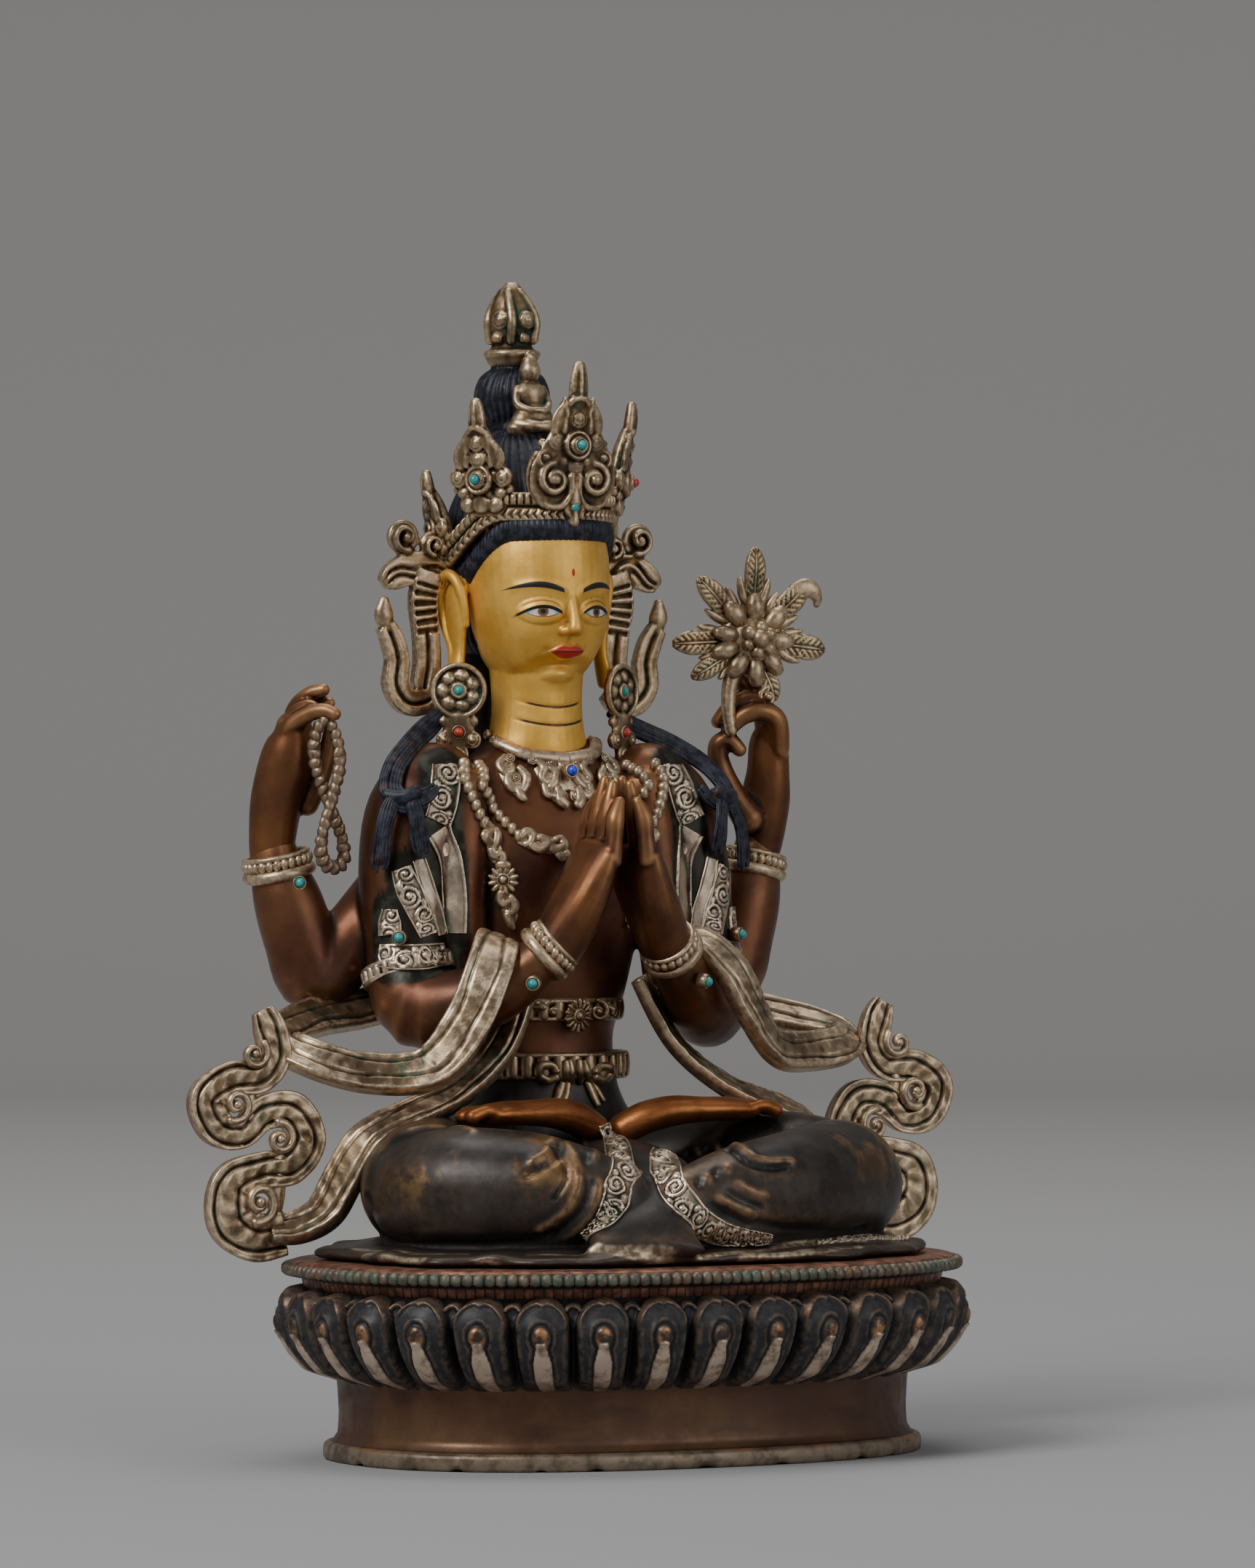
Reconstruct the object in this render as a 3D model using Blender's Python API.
"""A seated, four-armed bodhisattva in cast copper on an oval lotus plinth.

The figure faces -Y, and its right hand is at -X. The origin is the middle of the plinth's underside.
Sizes are in metres. The figure's free forms are written in figure units above the seat, and one unit
is FIGURE_HEIGHT / FIGURE_UNITS, so the whole figure follows its height.
"""

import math

import bmesh
import bpy
from mathutils import Matrix, Vector

# Driving sizes of the plinth
PLINTH_HEIGHT = 0.0355
PLINTH_LENGTH = 0.1290
PLINTH_DEPTH = 0.0925
FOOT_INSET = 0.0088
FOOT_THICKNESS = 0.0030
WAIST_INSET = 0.0113
PETAL_COUNT = 32
PETAL_BULGE = 0.0013
RIM_HEIGHT = 0.0021
RIM_INSET = 0.0024
OVAL_POWER = 2.35
SIDES_PER_PETAL = 3
ROUND_SIDES = 6
KEPT_TRIANGLES = 0.53

# Driving sizes of the figure and of what it carries
FIGURE_HEIGHT = 0.1766
FIGURE_UNITS = 176.6
STONE_DIAMETER = 0.0017
STONE_RISE = 0.0009
BEZEL_WALL = 0.0005
BEZEL_RISE = 0.0007
EARRING_DIAMETER = 0.0104
EARRING_THICKNESS = 0.0014
BEAD_DIAMETER = 0.0024
BAND_HEIGHT = 0.0042
BAND_THICKNESS = 0.0013
GAP = 0.0003

UNIT = FIGURE_HEIGHT / FIGURE_UNITS
SIDES = (("right", -1), ("left", 1))

COPPER = ("copper", (0.19, 0.075, 0.035), 0.42, 0.9)
DARK_COPPER = ("dark_copper", (0.05, 0.035, 0.028), 0.45, 0.85)
SILVER = ("silvered", (0.46, 0.40, 0.31), 0.38, 0.95)
TURQUOISE = ("turquoise", (0.03, 0.36, 0.36), 0.35, 0.0)
CORAL = ("coral", (0.45, 0.06, 0.03), 0.4, 0.0)
LAPIS = ("lapis", (0.02, 0.04, 0.55), 0.3, 0.0)


def clear_scene():
    """Removes the startup objects, so that only the statue is left."""
    for thing in list(bpy.data.objects):
        bpy.data.objects.remove(thing)


def material(look):
    """A Principled material from a name, a colour, a roughness and a metallic value."""
    name, colour, roughness, metallic = look
    made = bpy.data.materials.get(name) or bpy.data.materials.new(name)
    made.use_nodes = True
    shader = made.node_tree.nodes["Principled BSDF"]
    shader.inputs["Base Color"].default_value = (*colour, 1)
    shader.inputs["Roughness"].default_value = roughness
    shader.inputs["Metallic"].default_value = metallic
    return made


def collection(name):
    """A collection whose objects only help to build a node, so that no render shows them."""
    made = bpy.data.collections.new(name)
    made.hide_render = True
    bpy.context.scene.collection.children.link(made)
    return made


def mesh_object(name, shape, look, group=None):
    """A named object from a bmesh, with its faces pointing out."""
    bmesh.ops.recalc_face_normals(shape, faces=shape.faces)
    data = bpy.data.meshes.new(name)
    shape.to_mesh(data)
    shape.free()
    data.shade_smooth()
    data.set_sharp_from_angle(angle=math.radians(50))
    data.materials.append(material(look))
    made = bpy.data.objects.new(name, data)
    (group or bpy.context.scene.collection).objects.link(made)
    if group:
        made.hide_render = True
        made.display_type = "WIRE"
    return made


def smooth_rows(rows, steps):
    """Points on a Catmull-Rom curve through rows of numbers, each row a place and its half sizes."""
    if steps < 2:
        return [tuple(row) for row in rows]
    found = []
    for i in range(len(rows) - 1):
        before, start, end = rows[max(i - 1, 0)], rows[i], rows[i + 1]
        after = rows[min(i + 2, len(rows) - 1)]
        for step in range(steps):
            t = step / steps
            found.append(tuple(
                0.5 * (2 * b + (c - a) * t + (2 * a - 5 * b + 4 * c - d) * t * t
                       + (3 * b - a - 3 * c + d) * t ** 3)
                for a, b, c, d in zip(before, start, end, after)))
    return found + [tuple(rows[-1])]


def loft(rings, tips=(None, None)):
    """A closed bmesh through rings of the same number of points, each end closed by a fan."""
    shape = bmesh.new()
    loops = [[shape.verts.new(point) for point in ring] for ring in rings]
    count = len(loops[0])
    for low, high in zip(loops, loops[1:]):
        for i in range(count):
            j = (i + 1) % count
            shape.faces.new((low[i], low[j], high[j], high[i]))
    for loop, tip in ((loops[0], tips[0]), (loops[-1], tips[1])):
        middle = sum((v.co for v in loop), Vector()) / count
        pole = shape.verts.new(tip or middle)
        for i in range(count):
            shape.faces.new((loop[i], loop[(i + 1) % count], pole))
    return shape


def limb(rows, face=(0, 1, 0), sides=8, steps=1, blunt=0.5):
    """A swept solid. Each row is x, y, z and two half sizes, in figure units above the seat: the
    second half size is measured along face, and the first across it. blunt rounds the two ends."""
    path = smooth_rows(rows, steps)
    centres = [Vector(row[:3]) for row in path]
    rings = []
    for i, (centre, row) in enumerate(zip(centres, path)):
        along = (centres[min(i + 1, len(path) - 1)] - centres[max(i - 1, 0)]).normalized()
        across = along.cross(Vector(face)).normalized()
        thick = across.cross(along)
        rings.append([
            centre + across * (row[3] * math.cos(2 * math.pi * k / sides))
            + thick * (row[4] * math.sin(2 * math.pi * k / sides)) for k in range(sides)])
    first = (centres[0] - centres[1]).normalized() * min(path[0][3:5]) * blunt
    last = (centres[-1] - centres[-2]).normalized() * min(path[-1][3:5]) * blunt
    shape = loft(rings, (centres[0] + first, centres[-1] + last))
    return on_seat(shape)


def on_seat(shape):
    """Turns figure units above the seat into metres above the floor."""
    place = Matrix.Translation((0, 0, PLINTH_HEIGHT + GAP)) @ Matrix.Scale(UNIT, 4)
    bmesh.ops.transform(shape, matrix=place, verts=shape.verts)
    return shape


def mirrored(rows, side):
    """The same rows on the figure's right, where side is -1, or on its left, where it is 1."""
    return [(row[0] * side, *row[1:]) for row in rows]


def seat_point(x, y, z):
    """A point in figure units above the seat, as metres above the floor."""
    return Vector((x * UNIT, y * UNIT, PLINTH_HEIGHT + GAP + z * UNIT))


def facing(azimuth, lift=0.0):
    """A unit vector that points azimuth degrees round from the front, towards +X, and lift degrees up."""
    a, e = math.radians(azimuth), math.radians(lift)
    return Vector((math.sin(a) * math.cos(e), -math.cos(a) * math.cos(e), math.sin(e)))


def turned(profile, centre, axis, sides, tip=None):
    """A round solid from (radius, height) pairs along axis, which starts at centre. In metres."""
    frame = Matrix.Translation(centre) @ axis.to_track_quat("Z", "Y").to_matrix().to_4x4()
    rings = [[frame @ Vector((radius * math.cos(2 * math.pi * k / sides),
                              radius * math.sin(2 * math.pi * k / sides), height))
              for k in range(sides)] for radius, height in profile]
    return loft(rings, (None, tip))


def fused(name, shapes, look, share=1.0):
    """One solid from many overlapping ones: the first keeps the name, and the others are united to it.
    share is how many of the triangles stay, where the seams of the union leave slivers."""
    for shape in shapes:
        bmesh.ops.triangulate(shape, faces=shape.faces)
    helpers = collection(name + "_forms")
    made = mesh_object(name, shapes[0], look)
    for i, shape in enumerate(shapes[1:]):
        mesh_object(f"{name}_form_{i:02d}", shape, look, helpers)
    union = made.modifiers.new("union", "BOOLEAN")
    union.operation = "UNION"
    union.operand_type = "COLLECTION"
    union.collection = helpers
    union.solver = "EXACT"
    union.use_self = True
    if share < 1:
        thin = made.modifiers.new("thin", "DECIMATE")
        thin.ratio = share
    return made


# The plinth: an oval foot, a waist, one row of lotus petals and a beaded rim


def oval(half_length, half_depth, angle):
    """A point on a rounded rectangle of that half length and depth."""
    c, s = math.cos(angle), math.sin(angle)
    share = 2 / OVAL_POWER
    return (half_length * math.copysign(abs(c) ** share, c),
            half_depth * math.copysign(abs(s) ** share, s))


def even_angles(half_length, half_depth, count):
    """Angles that part the oval into stretches of the same length."""
    fine = 2880
    angles = [2 * math.pi * i / fine for i in range(fine + 1)]
    points = [Vector(oval(half_length, half_depth, a)) for a in angles]
    reach = [0.0]
    for a, b in zip(points, points[1:]):
        reach.append(reach[-1] + (b - a).length)
    found, i = [], 0
    for k in range(count):
        while reach[i] < reach[-1] * k / count:
            i += 1
        found.append(angles[i])
    return found


def plinth():
    """The lotus plinth as one loft, from the underside up to the seat."""
    foot, waist, petal, rim = FOOT_INSET, WAIST_INSET, PETAL_BULGE, RIM_INSET
    top = PLINTH_HEIGHT
    neck_low = top - 2.1 * RIM_HEIGHT
    petal_top = neck_low - 0.0002
    petal_foot = 0.375 * top
    bow = petal_top - petal_foot
    rows = [
        (0.0, foot, 0.0), (FOOT_THICKNESS, foot, 0.0), (FOOT_THICKNESS * 2.1, waist, 0.0),
        (petal_foot, waist - 0.0004, 0.2), (petal_foot + 0.14 * bow, 0.0064, 0.7),
        (petal_foot + 0.38 * bow, 0.0030, 1.0), (petal_foot + 0.80 * bow, petal, 1.0),
        (petal_top, petal + 0.0016, 0.7), (neck_low, rim + 0.0026, 0.0),
        (top - RIM_HEIGHT, rim + 0.0020, 0.0), (top - RIM_HEIGHT * 0.8, rim, 0.0),
        (top, rim + 0.0005, 0.0),
    ]
    half_length, half_depth = PLINTH_LENGTH / 2, PLINTH_DEPTH / 2
    sides = PETAL_COUNT * SIDES_PER_PETAL
    angles = even_angles(half_length, half_depth, sides)
    rings = []
    for z, inset, lobe in rows:
        ring = []
        for k, angle in enumerate(angles):
            bulge = PETAL_BULGE * lobe * (1 if k % SIDES_PER_PETAL else -1)
            x, y = oval(half_length - inset + bulge, half_depth - inset + bulge, angle)
            ring.append((x, y, z))
        rings.append(ring)
    mesh_object("lotus_plinth", loft(rings), DARK_COPPER)


# The figure's body, from the hem that lies on the seat up to the finial


def hem():
    """The edge of the robe, an oval sheet under the crossed legs with a flat underside."""
    sides = 32
    rows = [(0.0, 55, 38.0), (1.4, 56, 38.6), (4.2, 44, 30)]
    rings = [[(x, y, z) for x, y in (oval(a, b, 2 * math.pi * k / sides) for k in range(sides))]
             for z, a, b in rows]
    return on_seat(loft(rings))


def legs(side):
    """A thigh out to the knee, a shin back to the middle, and the foot that lies on the other thigh.
    The left shin lies in front, so it reaches across the middle."""
    thigh = [(8, 32, 12, 12, 11.5), (24, 20, 12.6, 12.8, 12.2), (37, 4, 12.6, 12.8, 12.0),
             (41, -4, 12.2, 10.5, 10.6)]
    shin = [(42.5, 2, 12, 9, 9.5), (39.5, -8, 12, 12.0, 11.6), (30, -17.5, 11.8, 11.8, 11.4)]
    if side > 0:
        shin += [(18, -25, 11.4, 10.4, 10.6), (5, -29, 10.4, 8.6, 9.4), (-4, -30, 9.6, 6.0, 7.2)]
    else:
        shin += [(23, -23, 11.2, 9.8, 9.8), (16, -26.5, 10.0, 6.2, 7.6)]
    foot = [(3, 6, 22.0, 3.6, 3.0), (12, 3.6, 25.2, 4.0, 3.2), (21, 2.6, 25.4, 4.4, 2.6),
            (27, 3.0, 25.2, 4.2, 2.0), (30.5, 3.4, 25.0, 3.0, 1.4)]
    return [limb(mirrored(thigh, side), (0, 0, 1), 10, 2, 0.6),
            limb(mirrored(shin, side), (0, 0, 1), 10, 2, 0.6),
            limb(mirrored(foot, side), (0, 0, 1), 8, 1, 0.5)]


def lap():
    """The cloth between the shins, and the fold that falls between them over the front of the seat."""
    cloth = [(0, 34, 9, 16, 8), (0, 12, 11, 14, 9.5), (-3, -8, 11, 13, 9), (-9, -22, 9, 10, 7.4),
             (-14, -31, 6, 9, 5), (-16, -37, 2.6, 11, 2.2)]
    return [limb(cloth, (0, 0, 1), 10, 1, 0.2)]


def torso():
    """The trunk, the neck and the head with its face."""
    trunk = [(0, 29, 3, 27, 15), (0, 29, 14, 22, 14), (0, 29, 28, 14.2, 10.2),
             (0, 29, 30.4, 15.4, 10.9), (0, 29, 35.4, 15.2, 10.7), (0, 29.2, 36.6, 12.8, 9.2),
             (0, 29.4, 39.6, 13.4, 9.6), (0, 29.6, 44.6, 15.0, 10.6), (0, 30, 54, 17.6, 12),
             (0, 30.4, 66, 20.4, 12.8), (0, 31, 76, 22.8, 11.4), (0, 32, 84, 20.6, 9.4),
             (0, 33, 89.5, 13.4, 8.0), (0, 33, 92.4, 9.8, 7.4)]
    neck = [(0, 33, 86, 10.6, 8.4), (0, 33, 93, 9.0, 8.2), (0, 33, 99, 8.4, 8.0), (0, 33.2, 106, 8.8, 8.4)]
    head = [(0, 28.2, 102.2, 4.8, 5.0), (0, 29.8, 104.6, 8.4, 9.2), (0, 31.4, 109.6, 11.6, 12.2),
            (0, 32.8, 117, 13.0, 14.0), (0, 34, 126, 13.2, 14.6), (0, 35, 133, 12.0, 13.8),
            (0, 36, 139, 8, 9.5)]
    nose = [(0, 19.8, 119.6, 0.9, 0.9), (0, 18.6, 113.6, 1.3, 1.6), (0, 18.4, 111.4, 2.0, 1.4)]
    return [limb(trunk, (0, 1, 0), 12, 1, 0.1), limb(neck, (0, 1, 0), 10, 1, 0.1),
            limb(head, (0, 1, 0), 12, 1, 0.25), limb(nose, (0, 1, 0), 5, 1, 0.3)]


def ear(side):
    """An ear with the long lobe that carries the earring."""
    rows = [(13.0, 36.4, 122, 2.4, 1.4), (13.8, 36.2, 118, 3.0, 1.7), (13.8, 36, 112, 2.4, 1.5),
            (14.6, 35.6, 107, 2.0, 1.3), (15.3, 35.2, 103.5, 2.0, 1.2)]
    return limb(mirrored(rows, side), (1, 0, 0), 8, 1, 0.5)


def hair():
    """The hair on the skull, the tall topknot with its jewel, and the fall of hair down the back."""
    cap = [(0, 38.5, 110, 11.8, 10.5), (0, 37.6, 118, 13.6, 13.0), (0, 37.2, 127, 14.2, 14.9),
           (0, 37.2, 135, 13.3, 14.6), (0, 38.4, 141, 10.6, 12.0), (0, 40.6, 146, 6.6, 7.6),
           (0, 42.4, 150.5, 4.6, 4.9), (0, 42.6, 152.5, 5.6, 5.7), (0, 42.6, 156.5, 6.5, 6.5),
           (0, 42.6, 160.5, 5.2, 5.2), (0, 42.6, 162, 4.2, 4.2), (0, 42.6, 163.4, 5.0, 4.9),
           (0, 42.6, 165, 4.0, 3.8), (0, 42.6, 169.4, 5.0, 4.4), (0, 42.6, 173.6, 3.4, 3.0),
           (0, 42.6, 175.6, 1.8, 1.6)]
    fall = [(0, 44, 124, 11, 4.5), (0, 43.6, 108, 10.4, 4.4), (0, 42.4, 94, 14, 3.8),
            (0, 42, 80, 16, 2.6), (0, 41.6, 68, 12, 1.8)]
    guardian = [(0, 34.0, 149.0, 3.8, 2.6), (0, 35.2, 153, 3.4, 2.8), (0, 36, 157, 2.6, 2.4),
                (0, 36.6, 161.4, 2.1, 2.2)]
    return [limb(cap, (0, 1, 0), 10, 1, 0.6), limb(fall, (0, 1, 0), 6, 1, 0.3),
            limb(guardian, (0, 1, 0), 6, 1, 0.5)]


def shoulder_lock(side):
    """The tuft of hair that lies over the front of a shoulder."""
    rows = [(20, 29.6, 91, 2.4, 2.0), (26.6, 26.6, 87.6, 4.2, 2.4), (31.6, 24.2, 80.6, 4.4, 2.6),
            (33.6, 23.2, 72.4, 2.2, 1.6)]
    return limb(mirrored(rows, side), (-0.4 * side, 1, 0), 6, 1, 0.4)


def front_arm(side):
    """An arm from the shoulder to the pressed palms, with the sleeve's edge and four fingers."""
    upper = [(20, 31, 84, 7.4, 7.4), (25.2, 31, 79, 8.2, 8.2), (28.0, 29.6, 68, 8.1, 8.1),
             (29.4, 27.2, 55, 7.9, 7.9), (29.6, 21.6, 43.8, 7.9, 7.4), (20.4, 11.6, 46.6, 5.8, 5.8),
             (12.2, 5.0, 54.4, 4.2, 4.3)]
    sleeve = [(27.2, 30.2, 72, 8.4, 8.4), (28.7, 28.6, 60.3, 8.9, 8.9), (29.6, 27.3, 54.1, 9.6, 9.6)]
    palm = [(12.4, 5.2, 54, 4.0, 4.3), (9.2, 4.2, 58, 3.7, 5.0), (6.0, 3.6, 63.6, 3.1, 5.5),
            (4.2, 3.2, 69, 2.5, 5.5), (3.5, 3.0, 73, 2.0, 5.0)]
    shapes = [limb(mirrored(upper, side), (0, 1, 0), 10, 1, 0.5),
              limb(mirrored(sleeve, side), (0, 1, 0), 12, 1, 0.1),
              limb(mirrored(palm, side), (0, 1, 0), 8, 1, 0.3)]
    for across, tip in ((-3.9, 81.0), (-1.3, 84.0), (1.3, 84.6), (3.9, 82.2)):
        finger = [(3.5, 3.1 + across, 71, 1.55, 1.5), (2.9, 2.9 + across * 0.95, 77, 1.4, 1.45),
                  (1.75, 2.6 + across * 0.76, tip, 1.1, 1.15)]
        shapes.append(limb(mirrored(finger, side), (0, 1, 0), 5, 1, 0.8))
    thumb = [(6.4, 9.0, 62, 1.8, 1.8), (4.4, 10.2, 67.5, 1.6, 1.6), (2.4, 9.2, 73, 1.2, 1.2)]
    shapes.append(limb(mirrored(thumb, side), (0, 1, 0), 5, 1, 0.8))
    return shapes


HAND_FACE = (-0.6, -0.8, 0)
HAND_ACROSS = (0.8, -0.6, 0)
KNUCKLES = (48.8, 38.8, 90.5)


def rear_arm(side):
    """A raised arm from behind the shoulder, with a hand whose fingers curl forward."""
    arm = [(18, 34, 78, 6.4, 6.4), (36, 37, 57, 6.3, 6.3), (44.6, 38.2, 48.4, 6.3, 6.3),
           (49.4, 39.2, 58, 5.7, 5.7), (50.4, 40, 70.4, 4.0, 4.0)]
    palm = [(50.4, 40, 69, 3.9, 3.6), (50.6, 39.8, 76, 5.2, 3.7), (50.0, 39.3, 84, 5.5, 3.2),
            (48.8, 38.6, 91.5, 4.9, 2.4)]
    face = Vector((HAND_FACE[0] * side, HAND_FACE[1], 0))
    shapes = [limb(mirrored(arm, side), (0, 1, 0), 10, 1, 0.5),
              limb(mirrored(palm, side), face, 8, 1, 0.3)]
    base = Vector(mirrored([KNUCKLES], side)[0])
    spread = Vector((HAND_ACROSS[0] * side, HAND_ACROSS[1], 0))
    for across, reach, lift in ((3.6, 7.4, 2.0), (1.2, 9.2, 4.6), (-1.2, 9.6, 7.4), (-3.6, 10.4, 10.2)):
        root = base + spread * across
        middle = root + face * reach * 0.38 + Vector((0, 0, lift * 0.72 + 1.6))
        tip = root + face * reach + Vector((0, 0, lift))
        finger = [(*root, 1.5, 1.5), (*middle, 1.4, 1.4), (*tip, 1.2, 1.2)]
        shapes.append(limb(finger, (0, 0.3, 1), 5, 1, 0.8))
    heel = base + spread * -4.4 + Vector((0, 0, -12))
    bend = heel + face * 4.0 + spread * -1.6 + Vector((0, 0, 6))
    pad = base + spread * -2.0 + face * 9.4 + Vector((0, 0, 2.6))
    shapes.append(limb([(*heel, 1.9, 1.9), (*bend, 1.7, 1.7), (*pad, 1.3, 1.3)], (0, 0.3, 1), 5, 1, 0.8))
    return shapes


def loop_scarf(side):
    """The scarf that hangs in a loop behind and over the front forearm, and its tail down the thigh.
    The left loop is stretched out more, and hangs less low."""
    lift = 2.6 if side > 0 else 0.0
    sling = [(24, 33, 47, 3.2, 1.8), (34, 34, 43.8, 3.6, 1.6), (47, 31.0, 42.0, 3.8, 1.5),
             (57.6, 22.5, 38.6, 3.4, 1.6), (54.4, 14.5, 35.0 + lift * 0.5, 3.5, 1.6),
             (45, 11.5, 32.6 + lift, 3.8, 1.5), (35.5, 7, 33.6 + lift, 4.0, 1.6),
             (29.4, 4.6, 41.6 + lift * 0.4, 4.2, 1.6), (25, 5.0, 50.5, 4.2, 1.6),
             (20.5, 10, 55.6, 4.0, 1.6), (16.5, 16, 54, 3.2, 1.6)]
    tail = [(12, 15.8, 49, 3.0, 1.3), (18, 13.4, 37, 3.0, 1.3), (28, 11.4, 29, 3.2, 1.4),
            (39, 10.2, 24.6, 3.6, 1.6), (46.6, 11.5, 20.6, 4.0, 1.8), (50.6, 13.4, 12, 4.2, 1.8),
            (54.4, 14.6, 4.0, 4.2, 1.8)]
    return [limb(mirrored(sling, side), (0.25 * side, -0.75, 0.6), 6, 1, 0.3),
            limb(mirrored(tail, side), (0.45 * side, -0.5, 0.75), 6, 1, 0.2)]


def bangle(centre, axis, radius):
    """A ring round a wrist, in figure units."""
    frame = Vector(axis).normalized().to_track_quat("Z", "Y").to_matrix().to_4x4()
    profile = [(radius, -1.3), (radius + 0.9, 0), (radius, 1.3)]
    sides = 12
    rings = [[Matrix.Translation(centre) @ frame @ Vector((r * math.cos(2 * math.pi * k / sides),
                                                           r * math.sin(2 * math.pi * k / sides), h))
              for k in range(sides)] for r, h in profile]
    return on_seat(loft(rings))


BANGLES = (((12.4, 5.2, 54.6), (-0.62, -0.42, 0.66), 4.9), ((50.3, 40.0, 69.4), (0.06, 0.0, 1.0), 5.3))


def belts():
    """The necklace plate, the belt under the breast and the belt at the waist."""
    collar = [(0, 24.4, 91.5, 2.6, 1.8), (0, 21.6, 86, 6.2, 1.8), (0, 19.0, 78, 3.2, 1.5)]
    buckle = [(0, 19.6, 45.4, 4.4, 1.6), (0, 19.2, 42.4, 5.2, 1.9), (0, 19.6, 38.8, 3.2, 1.4)]
    knot = [(0, 18.4, 36.0, 5.2, 1.6), (0, 17.6, 32.6, 5.8, 1.9), (0, 17.0, 24, 2.6, 1.6),
            (0, 14.0, 18, 3.2, 1.4)]
    return [limb(rows, (0, 1, 0), 6, 1, 0.4) for rows in (collar, buckle, knot)]


def figure(bezels):
    """The whole cast figure as one solid."""
    shapes = [hem(), *lap(), *torso(), *hair(), *belts()]
    for _, side in SIDES:
        shapes += [*legs(side), ear(side), shoulder_lock(side), *front_arm(side), *rear_arm(side),
                   *loop_scarf(side)]
        for centre, axis, radius in BANGLES:
            shapes.append(bangle(Vector((centre[0] * side, *centre[1:])),
                                 (axis[0] * side, *axis[1:]), radius))
    fused("figure", shapes + bezels, COPPER, KEPT_TRIANGLES)


# The crown, a separate casting that sits round the hair


CROWN_CENTRE = (0.0, 37.2)
CROWN_ROUND = (15.3, 16.7)
LEAVES = ((0, 26.0, 6.8), (58, 20.5, 5.6), (-58, 20.5, 5.6), (100, 15.0, 4.4), (-100, 15.0, 4.4))


def crown_height(azimuth):
    """How high above the seat the band's lower edge runs: over the brow in front, lower past the temples."""
    share = max(0.0, min(1.0, (abs(azimuth) - 45) / 55))
    return 132.4 - 8.6 * share * share * (3 - 2 * share)


def crown_point(azimuth, out, z):
    """A point on the crown's oval, in figure units."""
    a = math.radians(azimuth)
    return Vector((CROWN_CENTRE[0] + (CROWN_ROUND[0] + out) * math.sin(a),
                   CROWN_CENTRE[1] - (CROWN_ROUND[1] + out) * math.cos(a), z))


def crown_band():
    """The band as a closed ring with four edges."""
    shape = bmesh.new()
    sides, thick, high = 28, BAND_THICKNESS / UNIT, BAND_HEIGHT / UNIT
    loops = []
    for k in range(sides):
        azimuth = 360 * k / sides - 180
        z = crown_height(azimuth)
        loops.append([shape.verts.new(crown_point(azimuth, out, z + up)) for out, up in
                      ((0, 0), (thick, 0), (thick + 0.3, high), (0, high))])
    for k in range(sides):
        here, there = loops[k], loops[(k + 1) % sides]
        for i in range(4):
            j = (i + 1) % 4
            shape.faces.new((here[i], here[j], there[j], there[i]))
    return on_seat(shape)


def crown_leaf(azimuth, tall, wide):
    """One flame-shaped leaf, widest where its scrolls are."""
    out = Vector(facing(azimuth))
    low = crown_height(azimuth) + BAND_HEIGHT / UNIT - 1.2
    shares = ((0.0, 0.62, 0.9), (0.14, 1.16, 1.4), (0.34, 1.2, 1.5), (0.5, 0.72, 1.6),
              (0.7, 0.44, 1.4), (1.0, 0.2, 0.9))
    rows = [(*(crown_point(azimuth, 0.9 + 2.8 * up, low + tall * up)), wide * across, thick)
            for up, across, thick in shares]
    return limb(rows, out, 6, 1, 0.6)


def crown_ribbon(side):
    """The fan over the ear, and the ribbon that falls from it and curls up beside the neck."""
    fan = [(16.6, 38.4, 124.6, 2.2, 1.4), (19, 38.8, 127.4, 3.4, 1.4), (23.8, 39, 129.8, 4.0, 1.3),
           (27.4, 39, 130.2, 2.4, 1.0)]
    ribbon = [(18.4, 39, 127, 2.2, 1.3), (20.2, 39.2, 120, 2.6, 1.2), (19.2, 39.4, 109, 2.4, 1.2),
              (20.0, 39.4, 102.4, 2.2, 1.2), (23.8, 39.4, 99.8, 2.1, 1.2), (26.4, 39.2, 103.6, 2.1, 1.2),
              (26.0, 39.0, 108.4, 2.0, 1.2), (28.2, 38.8, 112.6, 1.8, 1.2), (28.4, 38.6, 117.0, 1.0, 0.8)]
    wing = [(18, 39.2, 119.6, 2.0, 1.1), (22.6, 39.2, 122.0, 2.6, 1.1), (27.2, 39.2, 120.8, 1.2, 0.9)]
    return [limb(mirrored(fan, side), (0, 1, 0), 6, 1, 0.5),
            limb(mirrored(ribbon, side), (0, 1, 0), 6, 1, 0.5),
            limb(mirrored(wing, side), (0, 1, 0), 6, 1, 0.5)]


def crown(bezels):
    """The band, the five leaves and the side ribbons as one casting."""
    shapes = [crown_band()]
    for leaf in LEAVES:
        shapes.append(crown_leaf(*leaf))
    for _, side in SIDES:
        shapes += crown_ribbon(side)
    fused("crown", shapes + bezels, SILVER, KEPT_TRIANGLES)


# What hangs on the figure or stands beside it


def stone_seat(point, out, foot=0.0022):
    """A round bezel that a stone lies in front of. Its foot runs back into what carries it."""
    radius = STONE_DIAMETER / 2 + BEZEL_WALL
    profile = [(radius * 0.9, -foot), (radius, BEZEL_RISE)]
    return turned(profile, point, out, ROUND_SIDES)


def stone(name, point, out, look):
    """A round cabochon on its bezel."""
    radius = STONE_DIAMETER / 2
    foot = point + out * (BEZEL_RISE + GAP * 0.35)
    profile = [(radius, 0.0), (radius * 0.86, STONE_RISE * 0.6)]
    mesh_object(name, turned(profile, foot, out, ROUND_SIDES, foot + out * STONE_RISE), look)


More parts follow.
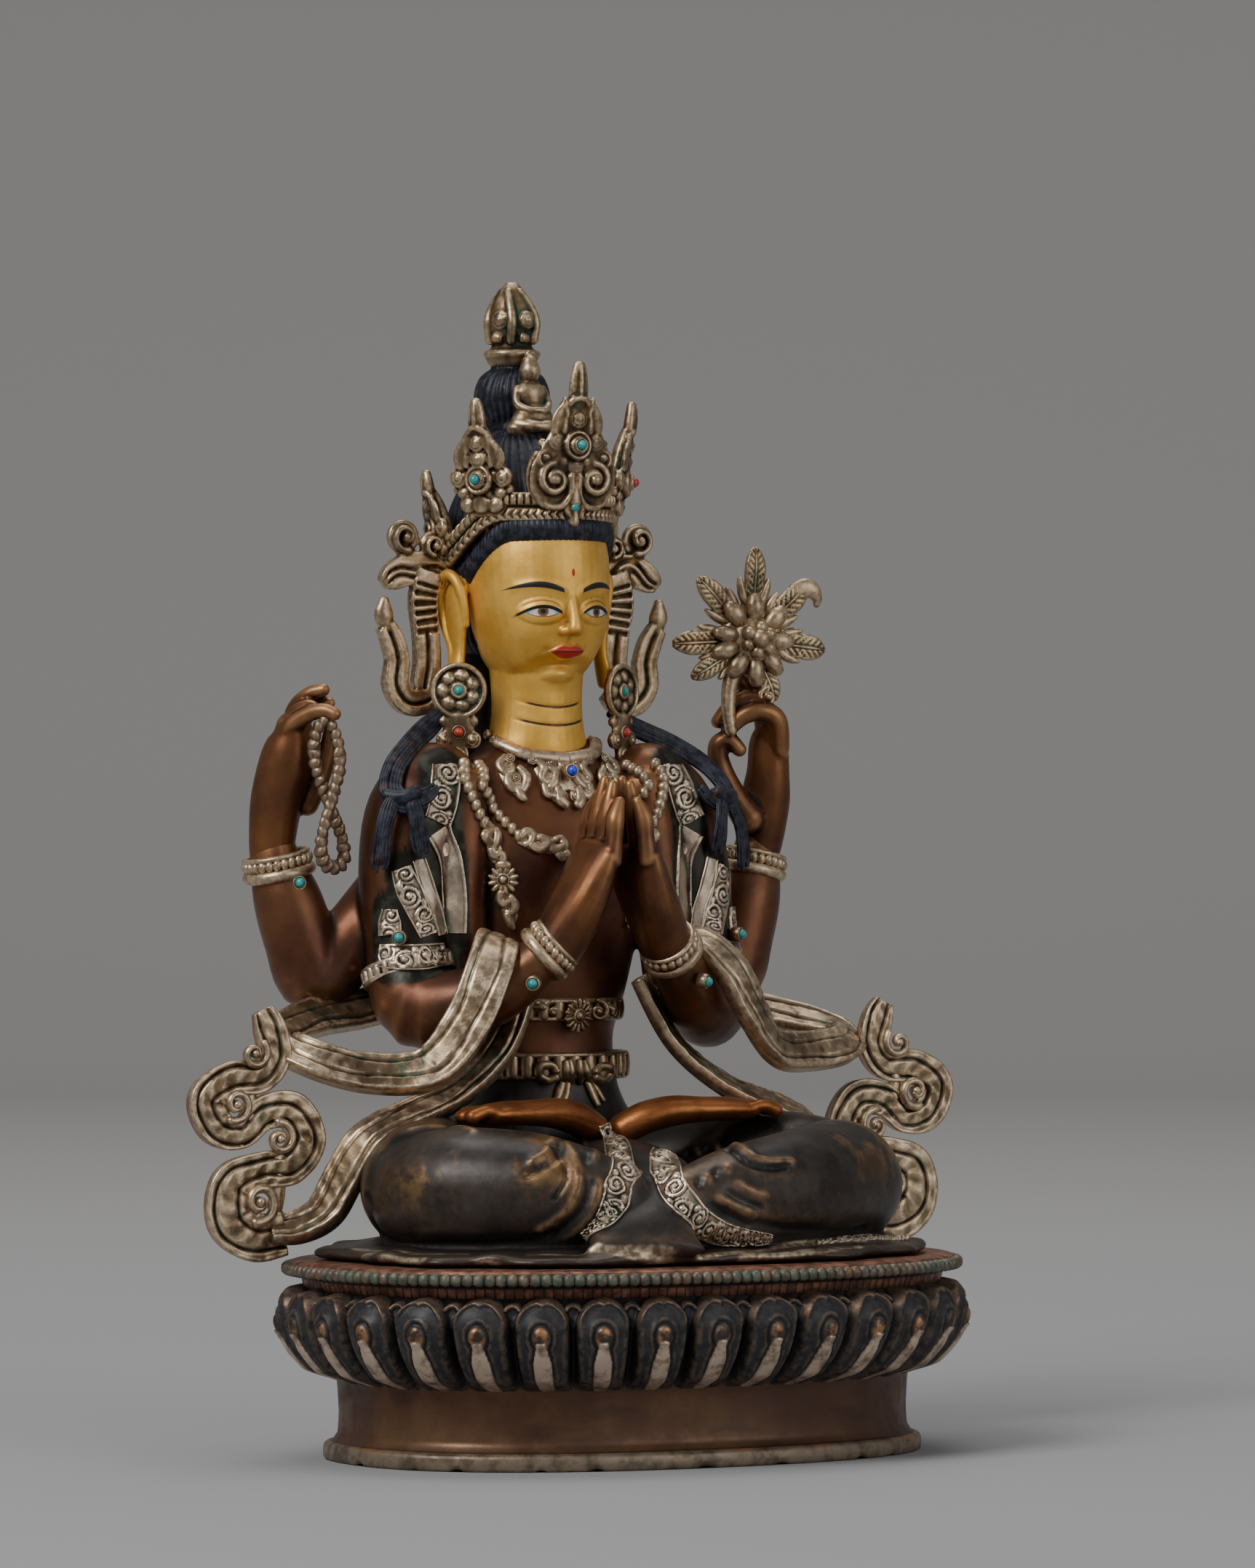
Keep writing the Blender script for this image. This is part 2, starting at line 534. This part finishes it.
def earring(name, side):
    """A round ear plug with a pendant below it, facing forward and out."""
    out = facing(28 * side)
    centre = seat_point(16.9 * side, 31.6, 101.2)
    radius, thick = EARRING_DIAMETER / 2, EARRING_THICKNESS
    disc = [(radius * 0.94, -thick * 0.5), (radius, thick * 0.1), (radius * 0.9, thick * 0.5)]
    drop = [(0, 0, -4.4, 1.6, 0.7), (0, 0, -6.6, 2.2, 1.0), (0, 0, -9.2, 2.4, 1.0), (0, 0, -11.6, 1.2, 0.8)]
    place = Vector((16.9 * side, 31.6, 101.2))
    pendant = limb([(*(place + Vector(row[:3])), *row[3:]) for row in drop], out, 6, 1, 0.5)
    low = seat_point(16.9 * side, 31.6, 93.6) + out * 0.0005
    seats = [stone_seat(centre, out, 0.0010), stone_seat(low, out, 0.0010)]
    fused(name, [turned(disc, centre, out, 12), pendant, *seats], SILVER)
    stone(f"{name}_turquoise", centre, out, TURQUOISE)
    stone(f"{name}_coral", low, out, CORAL)


def rosary():
    """The string of beads over the raised right hand, cast as one twisted loop."""
    radius = BEAD_DIAMETER / 2
    top, bottom, sway = 97.6, 69.6, 3.2
    sides, beads, rings, path = 5, 24, [], []
    for k in range(beads * 2):
        t = 2 * math.pi * k / (beads * 2)
        aside = sway * math.sin(2 * t)
        z = (top + bottom) / 2 + (top - bottom) / 2 * math.cos(t)
        path.append(seat_point(-43.6 + aside, 28.6 + 1.9 * math.sin(t), z))
    count = len(path)
    for k, centre in enumerate(path):
        along = (path[(k + 1) % count] - path[k - 1]).normalized()
        across = along.cross(Vector((0, 1, 0.2))).normalized()
        thick = across.cross(along)
        r = radius * (1.0 if k % 2 else 0.74)
        rings.append([centre + (across * math.cos(2 * math.pi * i / sides)
                                + thick * math.sin(2 * math.pi * i / sides)) * r for i in range(sides)])
    shape = bmesh.new()
    loops = [[shape.verts.new(point) for point in ring] for ring in rings]
    for k in range(count):
        low, high = loops[k], loops[(k + 1) % count]
        for i in range(sides):
            j = (i + 1) % sides
            shape.faces.new((low[i], low[j], high[j], high[i]))
    mesh_object("rosary", shape, SILVER)


def lotus_flower():
    """The open lotus in the raised left hand: a boss, a ring of petals and six outer leaves."""
    centre = Vector((46.6, 35.0, 111.0))
    out = Vector((-0.1, -1, 0)).normalized()
    shapes = [turned([(2.6 * UNIT, -2.0 * UNIT), (3.0 * UNIT, 2.4 * UNIT), (1.6 * UNIT, 4.2 * UNIT)],
                     seat_point(*centre), out, 6)]
    shapes.append(turned([(6.2 * UNIT, -1.8 * UNIT), (7.6 * UNIT, 0.2 * UNIT), (6.0 * UNIT, 1.6 * UNIT)],
                         seat_point(*centre), out, 12))
    for angle, reach, wide in ((0, 16.8, 2.4), (52, 14.5, 2.6), (-52, 14.5, 2.6), (97, 13.6, 2.8),
                               (-97, 13.6, 2.8), (140, 10.5, 2.4), (-140, 10.5, 2.4)):
        a = math.radians(angle)
        ray = Vector((math.sin(a), 0, math.cos(a)))
        rows = [(*(centre + ray * reach * share), wide * across, 1.3)
                for share, across in ((0.3, 0.9), (0.7, 1.0), (1.0, 0.35))]
        shapes.append(limb(rows, out, 6, 1, 0.5))
    stem = [(*(centre + Vector((0, 0, -5))), 1.6, 1.6), (*(centre + Vector((0, 0.2, -10.5))), 1.3, 1.3)]
    shapes.append(limb(stem, (0, 1, 0), 6, 1, 0.1))
    fused("lotus_flower", shapes, SILVER)


def scarf_end(name, side):
    """The end of the scarf, a flat ribbon that stands on the rim of the plinth in three curls."""
    rows = [(57.0, 17, 4.4, 2.8, 1.2), (60.0, 17, 4.6, 3.6, 1.3), (66, 17, 3.4, 4.4, 1.3),
            (70.6, 17, 7, 4.4, 1.3), (70.2, 17, 13.2, 4.0, 1.3), (64.6, 17, 15.6, 3.4, 1.3),
            (58.6, 17, 16.4, 3.4, 1.3), (55.4, 17, 21, 3.5, 1.3), (58.4, 17, 26, 3.5, 1.3),
            (64, 17, 25.8, 3.1, 1.3), (68.4, 17, 22.2, 2.6, 1.3), (73.2, 17, 23.4, 3.4, 1.3),
            (75.2, 17, 28.4, 3.4, 1.3), (70.6, 17, 31.8, 3.2, 1.3), (64.6, 17, 32.4, 3.0, 1.3),
            (61.8, 17, 36, 3.0, 1.3), (62.8, 17, 41, 2.9, 1.2), (64.2, 17, 44, 1.4, 0.9)]
    bar = [(61.6, 17, 9.0, 1.6, 1.1), (61.0, 17, 12, 1.5, 1.1), (61.0, 17, 18, 1.5, 1.1)]
    tie = [(66.4, 17, 22.5, 1.3, 1.0), (66.6, 17, 31.0, 1.3, 1.0)]
    shapes = [limb(mirrored(rows, side), (0, 1, 0), 6, 1, 0.3)]
    shapes += [limb(mirrored(part, side), (0, 1, 0), 6, 1, 0.3) for part in (bar, tie)]
    fused(name, shapes, SILVER)


FIGURE_STONES = (
    ("necklace_lapis", (0, 20.0, 86.6), (0, 5), LAPIS),
    ("armlet_right_turquoise", (-35.1, 20.0, 56.6), (-38, 0), TURQUOISE),
    ("armlet_left_turquoise", (35.1, 20.0, 56.6), (38, 0), TURQUOISE),
    ("bangle_right_turquoise", (-17.6, 1.8, 48.6), (-40, -10), TURQUOISE),
    ("bangle_left_turquoise", (17.6, 1.8, 48.6), (40, -10), TURQUOISE),
    ("raised_bangle_turquoise", (-48.2, 34.0, 66.4), (-6, 0), TURQUOISE),
)
CROWN_STONES = (
    ("band_turquoise", 0, 2.0, 1.4, TURQUOISE),
    ("crown_front_turquoise", 0, 13.2, 4.2, TURQUOISE),
    ("crown_right_turquoise", -58, 8.2, 3.6, TURQUOISE),
    ("crown_left_coral", 58, 8.2, 3.6, CORAL),
)


def build():
    """Makes every piece of the statue."""
    clear_scene()
    plinth()
    bezels = []
    for name, place, way, look in FIGURE_STONES:
        point, out = seat_point(*place), facing(*way)
        bezels.append(stone_seat(point, out))
        stone(name, point, out, look)
    figure(bezels)
    bezels = []
    for name, azimuth, up, away, look in CROWN_STONES:
        point = seat_point(*crown_point(azimuth, away, crown_height(azimuth) + up))
        bezels.append(stone_seat(point, facing(azimuth), 0.0011))
        stone(name, point, facing(azimuth), look)
    crown(bezels)
    for word, side in SIDES:
        earring(f"earring_{word}", side)
        scarf_end(f"scarf_end_{word}", side)
    rosary()
    lotus_flower()


build()
